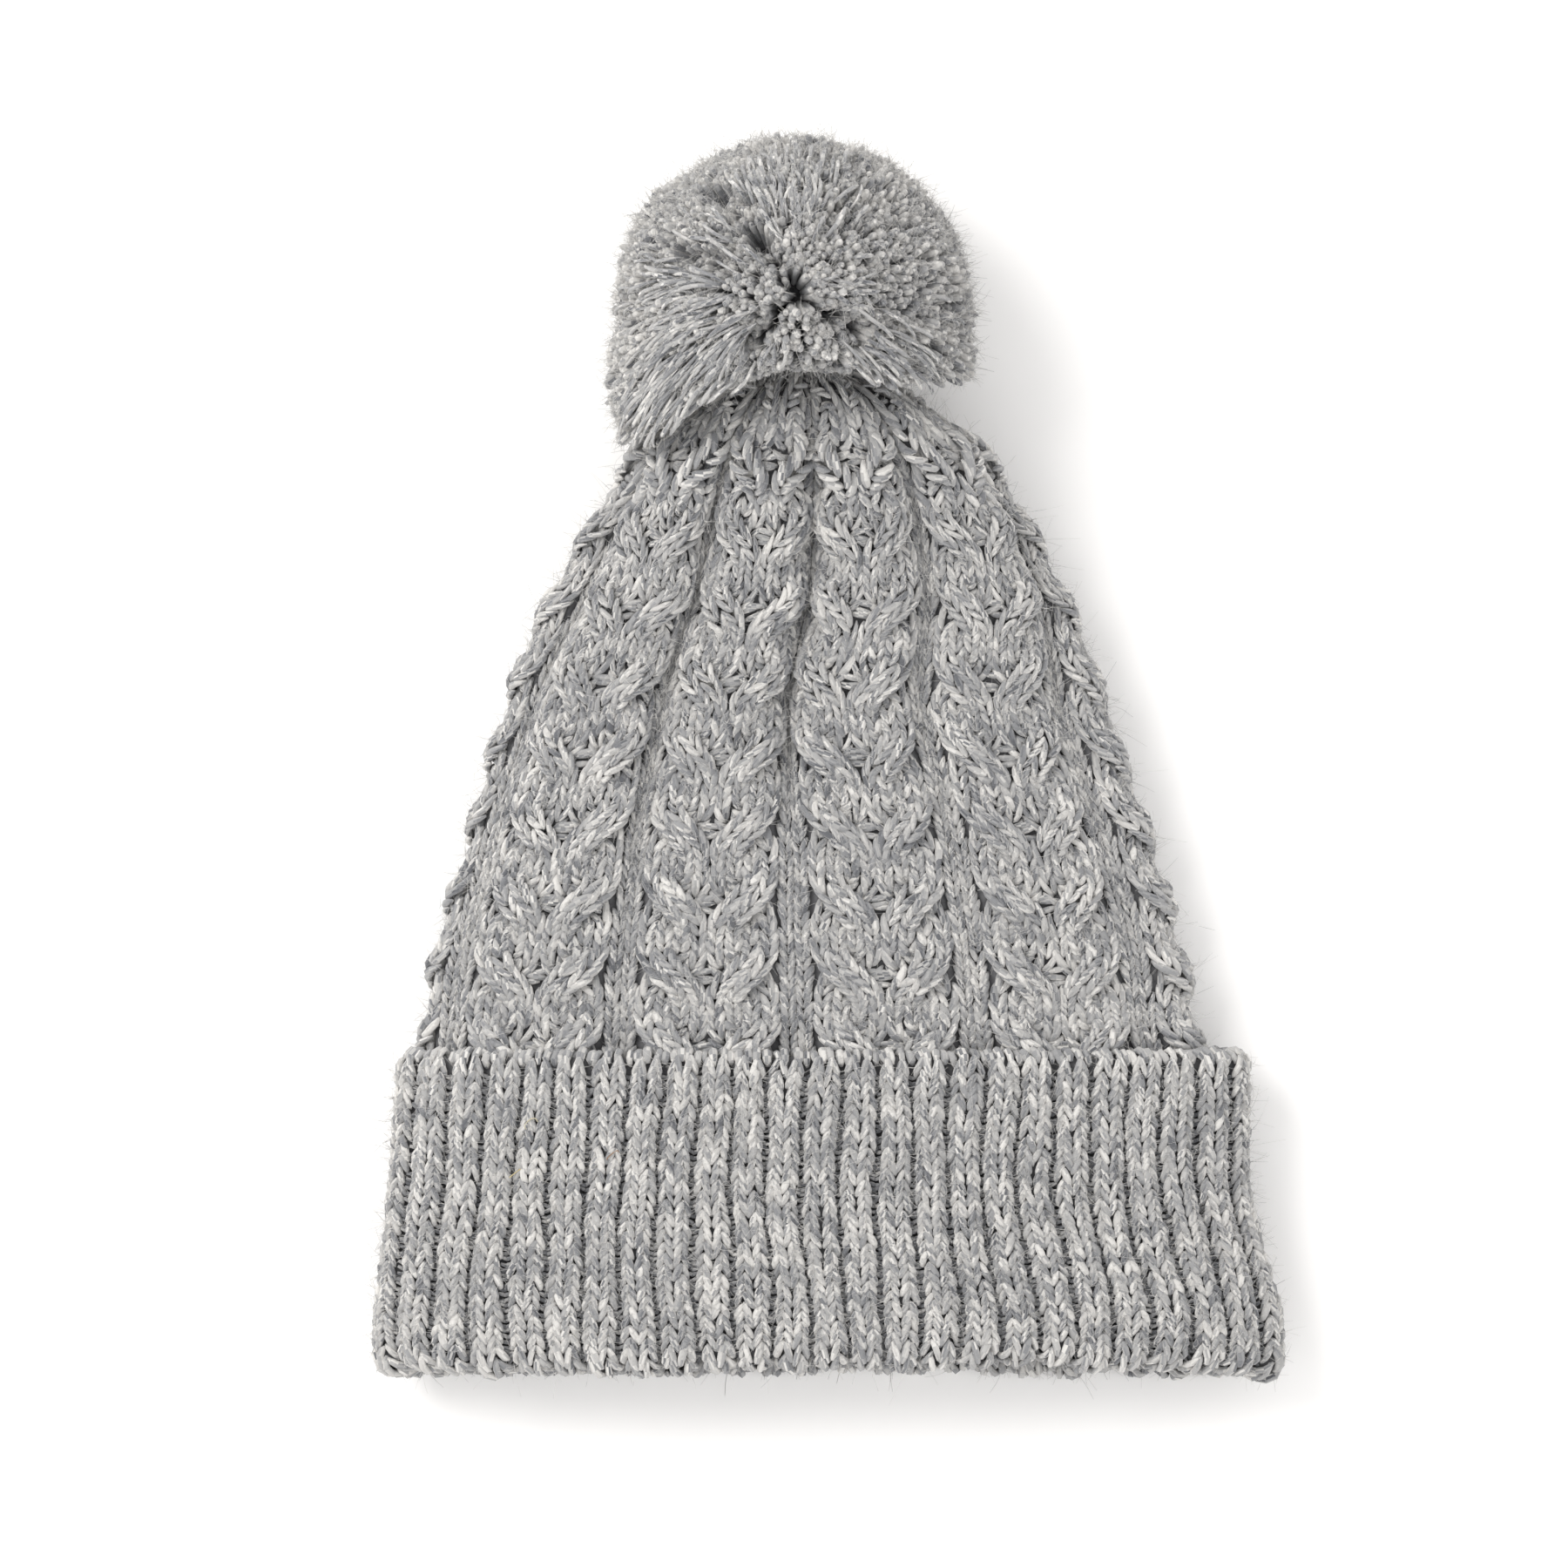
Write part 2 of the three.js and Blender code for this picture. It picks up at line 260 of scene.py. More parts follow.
def sheet_piece(name, body, grid, material):
    """A grid of points as one smooth skin, closed around, with a UV map of its shares along and around."""
    rows, around = grid.shape[:2]
    i, j = np.meshgrid(np.arange(rows - 1), np.arange(around), indexing="ij")
    k = (j + 1) % around
    quads = np.stack([i * around + j, i * around + k, (i + 1) * around + k, (i + 1) * around + j], -1)
    quads = quads.reshape(-1, 4)
    piece = make_piece(name, body, grid.reshape(-1, 3), [quads], [material], [np.zeros(len(quads))])
    uv = piece.data.uv_layers.new(name="wales")
    across = np.stack([j, j + 1, j + 1, j], -1) / around
    along = np.stack([i, i, i + 1, i + 1], -1) / (rows - 1)
    uv.data.foreach_set("uv", np.stack([across, along], -1).astype(np.float32).ravel())
    return piece


# ---------- materials ----------

def set_inputs(node, values):
    for name, value in values.items():
        node.inputs[name].default_value = value


def principled(name, colour, roughness, sheen):
    material = bpy.data.materials.new(name)
    material.use_nodes = True
    set_inputs(material.node_tree.nodes["Principled BSDF"], {
        "Base Color": (*colour, 1),
        "Roughness": roughness,
        "Sheen Weight": sheen,
        "Sheen Roughness": 0.6,
        "Specular IOR Level": 0.2,
    })
    return material


def texture(material, kind, place=None, **constants):
    """A procedural texture read at place, or in the piece's own space, with its inputs' constants."""
    nodes = material.node_tree.nodes
    made = nodes.new("ShaderNodeTex" + kind)
    set_inputs(made, constants)
    place = place or nodes.new("ShaderNodeTexCoord").outputs["Object"]
    material.node_tree.links.new(place, made.inputs["Vector"])
    return made


def product(material, first, second):
    """The product of two outputs."""
    both = material.node_tree.nodes.new("ShaderNodeMath")
    both.operation = "MULTIPLY"
    material.node_tree.links.new(first, both.inputs[0])
    material.node_tree.links.new(second, both.inputs[1])
    return both.outputs["Value"]


def tinted(material, factor, low, high):
    """Mixes the material's colour from two, by a factor output."""
    mix = material.node_tree.nodes.new("ShaderNodeMix")
    mix.data_type = "RGBA"
    set_inputs(mix, {"A": (*low, 1), "B": (*high, 1)})
    shader = material.node_tree.nodes["Principled BSDF"]
    material.node_tree.links.new(factor, mix.inputs["Factor"])
    material.node_tree.links.new(mix.outputs["Result"], shader.inputs["Base Color"])


def raised(material, height, depth):
    """Relief from a height output over the whole material, as bump."""
    relief = material.node_tree.nodes.new("ShaderNodeDisplacement")
    relief.inputs["Scale"].default_value = depth
    output = material.node_tree.nodes["Material Output"]
    material.node_tree.links.new(height, relief.inputs["Height"])
    material.node_tree.links.new(relief.outputs["Displacement"], output.inputs["Displacement"])


def fibre_relief(material, scale, depth):
    """Fine spun-fibre relief."""
    noise = texture(material, "Noise", Scale=scale, Detail=4, Distortion=1.2)
    raised(material, noise.outputs["Fac"], depth)


def yarn_tone(i):
    material = principled(f"melange_yarn_{i}", YARN[i], 0.95, 0.35)
    fibre_relief(material, 1900, 0.0005)
    return material


def painted_shade_material(name, wales, rows, dark=(0.045, 0.047, 0.053), light=(0.15, 0.15, 0.155)):
    """Painted shade for the knitting seen between the stitches: near black, with small bumps in rows, and
    darker painted shade in between them.
    """
    material = principled(name, dark, 0.95, 0.1)
    nodes = material.node_tree.nodes
    links = material.node_tree.links
    place = nodes.new("ShaderNodeUVMap")
    place.uv_map = "wales"
    scale = nodes.new("ShaderNodeVectorMath")
    scale.operation = "MULTIPLY"
    scale.inputs[1].default_value = (wales, rows, 1)
    links.new(place.outputs["UV"], scale.inputs[0])
    bumps = texture(material, "Voronoi", scale.outputs["Vector"], Scale=1, Randomness=0.35)
    noise = texture(material, "Noise", scale.outputs["Vector"], Scale=3)
    distance = bumps.outputs["Distance"]
    tinted(material, product(material, distance, noise.outputs["Fac"]), light, dark)
    bump = nodes.new("ShaderNodeBump")
    bump.invert = True
    set_inputs(bump, {"Strength": 0.8, "Distance": 0.0012})
    links.new(distance, bump.inputs["Height"])
    links.new(bump.outputs["Normal"], nodes["Principled BSDF"].inputs["Normal"])
    return material


def woven_material():
    """Satin label tape: fine crossing threads with a sheen."""
    material = principled("label_satin", (0.70, 0.69, 0.66), 0.42, 0.3)
    threads = texture(material, "Wave", Scale=900, Distortion=0.6)
    tinted(material, threads.outputs["Fac"], (0.62, 0.61, 0.58), (0.78, 0.77, 0.74))
    raised(material, threads.outputs["Fac"], 0.0002)
    return material


def plied_material():
    """Two twisted plies of the hat's yarn, for the CAD's own yarns: slanting bands, mottled."""
    material = principled("plied_yarn", (0.40, 0.395, 0.388), 0.95, 0.3)
    plies = texture(material, "Wave", Scale=260, Distortion=2.5, Detail=3)
    plies.bands_direction = "DIAGONAL"
    melange = texture(material, "Noise", Scale=700, Detail=5)
    both = product(material, plies.outputs["Fac"], melange.outputs["Fac"])
    tinted(material, both, YARN[1], YARN[7])
    raised(material, both, 0.0006)
    return material


yarn_materials = [yarn_tone(i) for i in range(len(YARN))]


def row_tones(rows, wales, spread, run):
    """Tone of each stitch: the yarn's shade drifts along each row, over runs of stitches."""
    noise = RANDOM.normal(0, 1, (rows, wales))
    kernel = np.hanning(run + 2)[1:-1]
    kernel = kernel / np.sqrt((kernel ** 2).sum())
    padded = np.concatenate([noise, noise[:, :run]], axis=1)
    smooth = np.stack([np.convolve(line, kernel, mode="same")[:wales] for line in padded])
    return MEAN_TONE + spread * smooth


# ---------- crown ----------

CROWN = outline("crown_shell", -70.2, 92.1)
# Depth of the fold at each gap between cables, and where it sets in along the crown, from the front's
# middle round to the right
PLEATS = np.array([7.5, 2.8, 3.0, 3.2, 3.0, 3.4, 3.0, 3.2, 3.0, 4.2])
PLEAT_START = np.array([-28, -45, -30, -30, -30, -30, -30, -30, -30, -75])
PLEAT_FULL = np.array([24, 60, 60, 60, 60, 60, 60, 60, 60, 45])
# How far the line between the two middle cables runs beside the crown's middle: y, mm
MIDDLE_LINE = np.array([[-84, -3], [-49, -3], [-20, -4.2], [14, -4.6], [38, 0.6], [70, 0.6], [92, 0]])
# Parts of a crossing's period at which a strand starts to move across, and at which it is there
CROSS_FROM = 0.12
CROSS_TO = 0.84
# Stitches across a strand or a gap: from which row on, their places and their width in wales
ZONES = [(1, (-0.75, 0.75), 1.5), (66, (0,), 3.0), (CROWN_ROWS, (), 1.0)]
FRONT = (0, 1, 2, 7, 8, 9)    # cables that show from above
# A half stitch: places along its length, with its width there as a share, and its height in mm
LEG_T = np.array([0, 0.16, 0.4, 0.66, 0.87, 1])
LEG_SHAPE = np.array([0.42, 0.86, 1.0, 0.97, 0.76, 0.36])
LEG_RISE = np.array([0.05, 0.55, 0.85, 0.7, 0.3, -0.25])
CROWN_LEG = 1.85              # lengths in rows
RIB_LEG = 1.66


def fold(wale, y):
    """Pleat depth at the nearest gap between cables, and the distance to its middle in wales."""
    turn = np.round(wale / REPEAT)
    gap = turn.astype(int) % REPEATS
    depth = PLEATS[gap] * smoothstep(PLEAT_START[gap], PLEAT_FULL[gap], y)
    return depth * (1 - 0.6 * smoothstep(66, 88, y)), np.abs(wale - turn * REPEAT)


def wale_widths(wale, y):
    """Relative width on the outline of the wales at the row at y. Folded fabric takes little of it, and
    the front's stitches lie a little wider than the back's."""
    pleat, distance = fold(wale, y)
    recessed = 1 - smoothstep(0.9, 2.3, distance)
    flank = 0.5 * (pleat / 7.5) * np.exp(-np.maximum(distance - 1.5, 0) / 2.4)
    spread = 1 + 0.15 * np.cos(math.tau * wale / WALES)
    return spread * (1 - recessed * (0.08 + 0.1 * np.minimum(pleat, 6)) - (1 - recessed) * flank)


def trough(wale, y):
    pleat, distance = fold(wale, y)
    return -(1.5 + pleat) * np.exp(-(distance / (1.5 + 0.28 * pleat)) ** 2)


def crown_surface():
    """The crown's surface, which starts inside the brim."""
    band = outline("brim_inner_band", -144, -71.5)
    rows = np.concatenate([band, CROWN[CROWN[:, 0] > -69]])
    steps = np.arange(2 * CROWN_ROWS + 1)
    y = CROWN_LOW + CROWN_ROW * steps / 2
    shape = smooth_rows(rows, y)
    wale = np.arange(2 * WALES) / 2
    grid = np.empty((len(y), len(wale), 3))
    for i, here in enumerate(y):
        width = wale_widths(wale + 0.25, here)
        share = np.concatenate([[0], np.cumsum(width)[:-1]]) / width.sum()
        half, thick, x, z = shape[i]
        inset = min(CROWN_INSET, 0.4 * half)
        size = [half - inset, thick - inset, x, z]
        _, _, girth = ring_points(size, inset, np.zeros(1))
        shift = np.interp(here, MIDDLE_LINE[:, 0], MIDDLE_LINE[:, 1])
        across, up, _ = ring_points(size, inset, share + shift / girth)
        grid[i] = np.stack([across, np.full(len(wale), here), up], -1)
    inward = np.stack([trough(wale, here) for here in y])
    narrow = np.minimum(1, shape[:, 0] / 40)[:, None]
    grid = grid + grid_normals(grid) * (inward * narrow)[..., None]
    grid[..., 2] = np.maximum(grid[..., 2], 1.6)
    return Surface(grid, 2, 2)


def strand_path(phase):
    """A cable strand at its phase, in periods: wales out from its inner place, how many wales it moves
    out in a row, and height. It goes out on top in one period, and comes back underneath in the next."""
    turn = np.mod(phase, 2)
    over = turn < 1
    t = np.where(over, turn, turn - 1)
    s = np.clip((t - CROSS_FROM) / (CROSS_TO - CROSS_FROM), 0, 1)
    move = smoothstep(CROSS_FROM, CROSS_TO, t)
    slope = 18 * s * (1 - s) / ((CROSS_TO - CROSS_FROM) * CROSSING)
    bump = np.sin(math.pi * smoothstep(CROSS_FROM - 0.14, CROSS_TO + 0.16, t))
    side = np.where(over, 3 * move, 3 - 3 * move)
    return side, np.where(over, slope, -slope), np.where(over, bump, -0.35 * bump)


def leg_rows(row, length):
    return row[:, None] - 0.5 + length * LEG_T


def wale_width(surface, wale, row):
    """Local width of a wale, mm."""
    ahead = surface.read(surface.grid, wale + 0.5, row)
    behind = surface.read(surface.grid, wale - 0.5, row)
    return np.linalg.norm(ahead - behind, axis=-1)


def crown_legs(surface, route, row, side, spread, half, body):
    """Both halves of V stitches. route(rows, across) gives the wale, row and height of points that lie
    across wales to the side of a stitch's middle. half and body are a leg's half width and thickness."""
    count = len(row)
    rows = leg_rows(row + RANDOM.normal(0, 0.12, count), CROWN_LEG)
    lean = varied(count, 0.13, 1)
    across = side[:, None] * (0.02 + 0.44 * lean * LEG_T ** 0.85)
    across = (across + varied(count, 0.03)) * spread[:, None]
    wale, rows, height = route(rows, across)
    rows = np.clip(rows, 0, CROWN_ROWS)
    scale = np.clip(wale_width(surface, wale, rows) * spread[:, None] / 3.9, 0.35, 1.1)
    plump = varied(count, 0.1, 1)
    wide = half * LEG_SHAPE * scale * plump
    high = body * LEG_SHAPE * (0.4 + 0.6 * scale) * plump
    rise = (height + LEG_RISE + varied(count, 0.13)) * (0.3 + 0.7 * scale)
    centre, normal = surface.at(wale, rows, rise)
    return centre, normal, wide, high


def zone_stitches(hands, strands):
    """Every half stitch of a cable or a gap: row, hand, strand, column, spread and side."""
    parts = []
    for (start, columns, spread), (end, _, _) in zip(ZONES, ZONES[1:]):
        some = np.meshgrid(np.arange(start, end), hands, strands, columns, [spread], [-1, 1], indexing="ij")
        parts.append(np.stack([v.ravel() for v in some]).astype(float))
    return np.concatenate(parts, axis=1)


def cable_stitches(repeat):
    """Row, side, spread, route and a key to the tone of every half stitch in one cable."""
    row, hand, strand, column, spread, side = zone_stitches([-1, 1], [0, 1])
    middle = repeat * REPEAT + REPEAT / 2

    def path_at(rows):
        phase = (rows - CROSSING_START) / CROSSING + 0.5 * (CROSS_FROM + CROSS_TO) + strand[:, None]
        out, slope, rise = strand_path(phase)
        return out, np.arctan(1.4 * slope), rise

    def route(rows, across):
        _, tilt, _ = path_at(rows)
        heart = row[:, None] + 0.4
        rows = heart + (rows - heart) * (1 - 0.13 * np.abs(np.sin(tilt)))
        out, tilt, rise = path_at(rows)
        widened = 1 - 0.06 * np.abs(np.sin(tilt)) + np.maximum(-rise, 0)
        place = (column[:, None] + across) * widened
        wale = middle + hand[:, None] * (1.45 + out + place * np.cos(tilt))
        crowned = 0.3 - 0.3 * np.abs(column + 0.3 * side)[:, None]
        lift = 2.7 * rise * (1 - 0.3 * (place / 1.5) ** 2)
        return wale, rows - 1.15 * place * np.sin(tilt), crowned + lift

    key = hand * 3 + np.round(column) + strand * 7
    return row, side, spread, route, key.astype(int)


def gap_stitches(repeat):
    """The same for the recessed stitches between two cables."""
    row, _, _, column, spread, side = zone_stitches([1], [0])

    def route(rows, across):
        return repeat * REPEAT + column[:, None] + across, rows, np.full(rows.shape, -0.1)

    return row, side, spread, route, np.round(column).astype(int)


def centre_loops(repeat):
    """Short slanting loops of yarn that half close the hole at the middle of each crossing."""
    crossing = CROSSING_START + CROSSING * np.arange((CROWN_ROWS - CROSSING_START) // CROSSING + 1)
    row = (crossing[:, None] + np.array([-0.8, -0.2, 0.45])).ravel()
    row = row[(row > 1) & (row < CROWN_ROWS - 2)]
    t = np.linspace(-1, 1, 6)
    wale = repeat * REPEAT + REPEAT / 2 + 1.15 * t + varied(len(row), 0.3)
    slant = varied(len(row), 0.3)
    rows = row[:, None] + slant * t + varied(len(row), 0.12)
    rise = -0.15 + 0.5 * (1 - t ** 2) + 0 * rows
    return wale, rows, rise


def crown_pieces(surface):
    tips = []
    for repeat in range(REPEATS):
        sides = 10 if repeat in FRONT else 5
        tones = row_tones(CROWN_ROWS + 1, 32, 0.10, 3)
        row, side, spread, route, key = cable_stitches(repeat)
        legs = crown_legs(surface, route, row, side, spread, 0.87, 0.95)
        tone = tones[row.astype(int), (key + 2 * (side > 0)) % 32] + RANDOM.normal(0, 0.09, len(row))
        yarn_piece(f"cable_{repeat + 1:02d}", "hat", "cable_knit", *legs, sides, tone)
        tips.append(top_points(legs))
        row, side, spread, route, key = gap_stitches(repeat)
        gap = crown_legs(surface, route, row, side, spread, 0.80, 0.84)
        wale, rows, rise = centre_loops(repeat)
        centre, normal = surface.at(wale, rows, rise)
        slim = np.array([0.5, 0.9, 1, 1, 0.9, 0.5]) * (0.78 + 0 * rows)
        loops = (centre, normal, slim, slim * 1.05)
        both = [np.concatenate(pair) for pair in zip(gap, loops)]
        # The recessed gap stitches are 0.03 darker than the cable's: a little painted shade for the recess.
        tone = np.concatenate([tones[row.astype(int), (key + 9) % 32] - 0.03, np.full(len(rows), 0.55)])
        yarn_piece(f"cable_gap_{repeat + 1:02d}", "hat", "cable_knit", *both, sides, tone)
        tips.append(top_points(gap))
    return [np.concatenate(v) for v in zip(*tips)]


def top_points(legs):
    """Points on the outside of the strands, with their normals, where loose fibres can start."""
    centre, normal, _, high = legs
    return centre[:, 2] + normal[:, 2] * high[:, 2, None] * 0.8, normal[:, 2]


def crown_backing(surface):
    """The skin behind the crown's stitches, drawn together at the gathered tip."""
    skin = surface.grid - surface.normals * 0.9
    last = skin[-1]
    middle = last.mean(axis=0)
    close = [middle + (last - middle) * k + np.array([0, 0.4, 0]) for k in (0.62, 0.3, 0.06)]
    skin = np.concatenate([skin, np.array(close)])
    skin[..., 2] = np.maximum(skin[..., 2], 0.7)
    return skin


# ---------- rib brim ----------

def rib_profile():
    """Stations along the brim's fabric, from inside the cast-on edge, down the cuff, around the fold and
    up inside: y, distance in from the cuff's skin, and how much of the place comes from the band's skin."""
    edge_r = 1.05
    edge_y = CUFF_TOP - edge_r - 1.0
    fold_r = 2.48
    inner_depth = RIB_INSET + 2 * fold_r
    inside = [[edge_y - 6, RIB_INSET + 2 * edge_r, 0]]
    edge = [[edge_y + edge_r * math.sin(a), RIB_INSET + edge_r * (1 - math.cos(a)), 0]
            for a in np.linspace(math.pi, 0, 9)]
    outer = [[y, RIB_INSET, 0] for y in np.arange(edge_y - 2, FOLD_CENTRE + 1, -2.0)]
    around = [[FOLD_CENTRE - fold_r * math.sin(a), RIB_INSET + fold_r * (1 - math.cos(a)), 0]
              for a in np.linspace(0, math.pi, 15)]
    inner = [[y, inner_depth, 1] for y in np.arange(FOLD_CENTRE + 3, -81, 2.0)]
    return np.array(inside + edge + outer + around + inner), edge_y + edge_r


def edge_lift(wale, across, y, front, uneven):
    """How far the brim's round at y lifts, mm: the fold is bowed and uneven, the cast-on edge scalloped."""
    bow = 0.4 + 1.9 * smoothstep(-45, 12, across) + 2.4 * smoothstep(-88, -106, across)
    lift = bow * front * smoothstep(-112, -144, y) + uneven * smoothstep(-128, -147, y)
    scallops = 0.45 * (1 + np.cos(math.tau * wale))
    return lift + scallops * smoothstep(CUFF_TOP - 4, CUFF_TOP - 1, y)


def rib_relief(wale, row, y, inner, edge_row):
    """Height of the ribs, mm. They fade out at the cast-on edge and are lower inside."""
    away = np.abs(wale - np.round(wale))
    relief = -1.6 + 2.7 * (1 - smoothstep(0.36, 0.5, away)) * (1 - 0.58 * (away / 0.4) ** 2)
    set_in = smoothstep(edge_row + 0.2, edge_row + 1.4, row)
    strength = set_in * np.where(inner > 0.5, 0.6, 1) * (1 + 0.7 * smoothstep(-138, -147, y))
    return relief * strength[:, None] + 0.35 * (1 - set_in)[:, None]


def rib_surface():
    """The brim's surface, its number of rows, and the row at the top of the cast-on edge."""
    stations, edge_top = rib_profile()
    length = np.hypot(np.diff(stations[:, 0]), np.diff(stations[:, 1]))
    along = np.concatenate([[0], np.cumsum(length)])
    rows = int(along[-1] / RIB_ROW)
    place = np.arange(2 * rows + 1) * RIB_ROW / 2
    y, depth, inner = (np.interp(place, along, stations[:, k]) for k in range(3))
    outer_shape = smooth_rows(outline("brim_turned_cuff", -145.05, -71.9), np.clip(y, -145, -72))
    inner_shape = smooth_rows(outline("brim_inner_band", -144.8, -70), np.clip(y, -144.7, -70.5))
    wale = np.arange(12 * RIBS) / 12
    share = wale / RIBS
    front = smoothstep(-0.05, 0.45, np.cos(math.tau * share))
    uneven = np.interp(share * RIBS, np.arange(RIBS), RANDOM.normal(0, 0.55, RIBS), period=RIBS)
    grid = np.empty((len(y), len(wale), 3))
    for i in range(len(y)):
        cuff = outer_shape[i] - np.array([depth[i], depth[i], 0, 0])
        band = inner_shape[i] - np.array([BAND_INSET, BAND_INSET, 0, 0])
        size = cuff * (1 - inner[i]) + band * inner[i]
        wander = 0.0016 * np.sin(0.07 * y[i] + 3 * np.sin(math.tau * share * 3)) * np.sin(share * 40)
        wander = wander + 0.0006 * np.sin(0.21 * y[i] + 61 * share)
        floor = depth[i] if inner[i] < 0.5 else BAND_FLOOR
        across, up, _ = ring_points(size, floor, share + wander)
        lift = edge_lift(wale, across, y[i], front, uneven)
        grid[i] = np.stack([across, y[i] + lift, up], -1)
    edge_row = along[np.argmax(stations[:, 0] >= edge_top - 0.01)] / RIB_ROW
    height = rib_relief(wale, np.arange(len(y)) / 2, y, inner, edge_row)
    grid = grid - grid_normals(grid) * height[..., None]
    surface = Surface(grid, 12, 2)
    surface.normals = -surface.normals
    return surface, rows, edge_row


def rib_legs(surface, rows_total, edge_row):
    """Knit stitches of every rib, two wales each, that point towards the cast-on edge."""
    first = math.ceil(edge_row + 0.6)
    axes = (np.arange(first, rows_total - 1), np.arange(RIBS), [-1, 1], [-1, 1])
    row, rib, column, side = (v.ravel() for v in np.meshgrid(*axes, indexing="ij"))
    count = len(row)
    start = row + RANDOM.normal(0, 0.1, count)
    rows = np.clip(leg_rows(start, RIB_LEG), 0, rows_total)
    lean = varied(count, 0.14, 1)
    reach = -0.01 + 0.168 * lean * LEG_T ** 0.85
    wale = (rib + 0.181 * column)[:, None] + side[:, None] * reach + varied(count, 0.012)
    rise = 0.1 + 1.05 * LEG_RISE + varied(count, 0.12)
    centre, normal = surface.at(wale, rows, rise)
    plump = varied(count, 0.1, 1)
    wide = 0.86 * LEG_SHAPE * plump
    high = LEG_SHAPE * plump
    return (centre, normal, wide, high), row, rib, side


def purl_bumps(surface, rows_total, edge_row):
    """Level bars of the purl stitches at the bottom of each valley, two to a row."""
    first = math.ceil(edge_row + 1.2)
    axes = (np.arange(first, rows_total - 1, 0.5), np.arange(RIBS))
    row, rib = (v.ravel() for v in np.meshgrid(*axes, indexing="ij"))
    t = np.linspace(-1, 1, 5)
    wale = rib[:, None] + 0.5 + 0.17 * t
    slant = varied(len(row), 0.12)
    rows = row[:, None] + varied(len(row), 0.06) + 0.2 * (1 - t ** 2) + slant * t
    rise = 0.35 + 0.4 * (1 - t ** 2) + varied(len(row), 0.1)
    centre, normal = surface.at(wale, rows, rise)
    slim = np.array([0.6, 0.95, 1, 0.95, 0.6]) * 0.6 + 0 * rows
    return centre, normal, slim, slim


def cast_on_loops(surface, edge_row):
    """Slanting loops that wrap the cast-on edge, four to a rib."""
    start = np.arange(4 * RIBS) / 4 + 0.125 + RANDOM.normal(0, 0.03, 4 * RIBS)
    t = np.linspace(0, 1, 9)
    top = edge_row - 0.55 + varied(len(start), 0.12)
    rows = top - 1.1 + 2.6 * t
    lean = varied(len(start), 0.07, 0.15)
    wale = start[:, None] + lean * (t - 0.5)
    rise = 0.1 + 0.6 * np.sin(math.pi * t) + 0 * rows
    centre, normal = surface.at(wale, rows, rise)
    shape = np.interp(t, [0, 0.15, 0.5, 0.85, 1], [0.4, 0.85, 1, 0.9, 0.45])
    plump = varied(len(start), 0.12, 1)
    return centre, normal, 1.1 * shape * plump, shape * plump


def rib_pieces(backing):
    surface, rows_total, edge_row = rib_surface()
    legs, row, rib, side = rib_legs(surface, rows_total, edge_row)
    tones = row_tones(rows_total + 1, 4 * RIBS, 0.1, 5)
    # The ribs' stitches are made lighter than the crown's: painted light that offsets the deeper shade
    # between the ribs.
    tone = RIB_PAINTED_LIGHT + tones[row, 4 * rib + side] + RANDOM.normal(0, 0.09, len(row))
    outside = row < rows_total * 0.56
    front = np.cos(math.tau * rib / RIBS) > -0.2
    groups = {"inner_band_ribs": ~outside, "cuff_ribs_back": outside & ~front}
    for k in range(3):
        turn = np.mod(rib + RIBS // 2, RIBS) / RIBS - 0.5
        groups[f"cuff_ribs_{k + 1}"] = outside & front & (np.floor((turn + 0.3) * 5).astype(int) == k)
    for name, chosen in groups.items():
        part = [v[chosen] for v in legs]
        yarn_piece(name, "hat", "rib_knit", *part, 10 if name[-1].isdigit() else 5, tone[chosen])
    bumps = purl_bumps(surface, rows_total, edge_row)
    # The valley bars' yarn is much darker than the ribs' (tone 0.32 against about 0.61): painted shade for
    # the valleys' bottoms.
    yarn_piece("rib_valley_bumps", "hat", "rib_knit", *bumps, 5, RANDOM.normal(0.32, 0.12, len(bumps[0])))
    loops = cast_on_loops(surface, edge_row)
    yarn_piece("cast_on_edge", "hat", "rib_knit", *loops, 8, RANDOM.normal(0.62, 0.09, len(loops[0])))
    skin = surface.grid - surface.normals * 0.9
    skin[..., 2] = np.maximum(skin[..., 2], 0.5)
    back = sheet_piece("rib_fabric", "hat", skin[:, ::-1], backing)
    return top_points([v[outside] for v in legs]), back


# ---------- pom pom ----------

STRANDS = 10500               # before those that meet the crown are left out
CLUMPS = 900
TIE_CONE = 24                 # degrees around the tie that stay free of strands
CROWN_CLEARANCE = 2.5         # mm that the pom pom's strands keep from the crown's skin at rest
UNDER_CLEARANCE = 1.5         # mm, the same at the joints' limits, for the strands under the rim
SIDE_CLEARANCE = 0.0          # mm, the same for the other strands
BORNE_WITHIN = 4.5            # mm from a combed strand to the cut ends that bear it
# The rim over the crown: y of its top and x of its middle in mm, and how fast it falls to the sides
RIM_TOP = 91.0
RIM_MIDDLE = -5.0
RIM_FALL = 0.0135
# Lines where the strands part, as unit points: from, to, how far they move aside, and within what width
PARTINGS = [
    ((-0.49, 0.70, 0.52), (-0.22, 0.38, 0.90), 0.085, 0.085),
    ((-0.22, 0.38, 0.90), (0.02, 0.06, 1.0), 0.055, 0.075),
    ((0.02, 0.08, 1.0), (0.05, -0.02, 1.0), 0.07, 0.09),
    ((0.05, -0.02, 1.0), (0.42, -0.22, 0.88), 0.06, 0.07),
    ((0.02, 0.02, 1.0), (-0.22, -0.28, 0.93), 0.05, 0.07),
    ((-0.72, 0.30, 0.62), (-0.45, 0.20, 0.87), 0.04, 0.06),
]
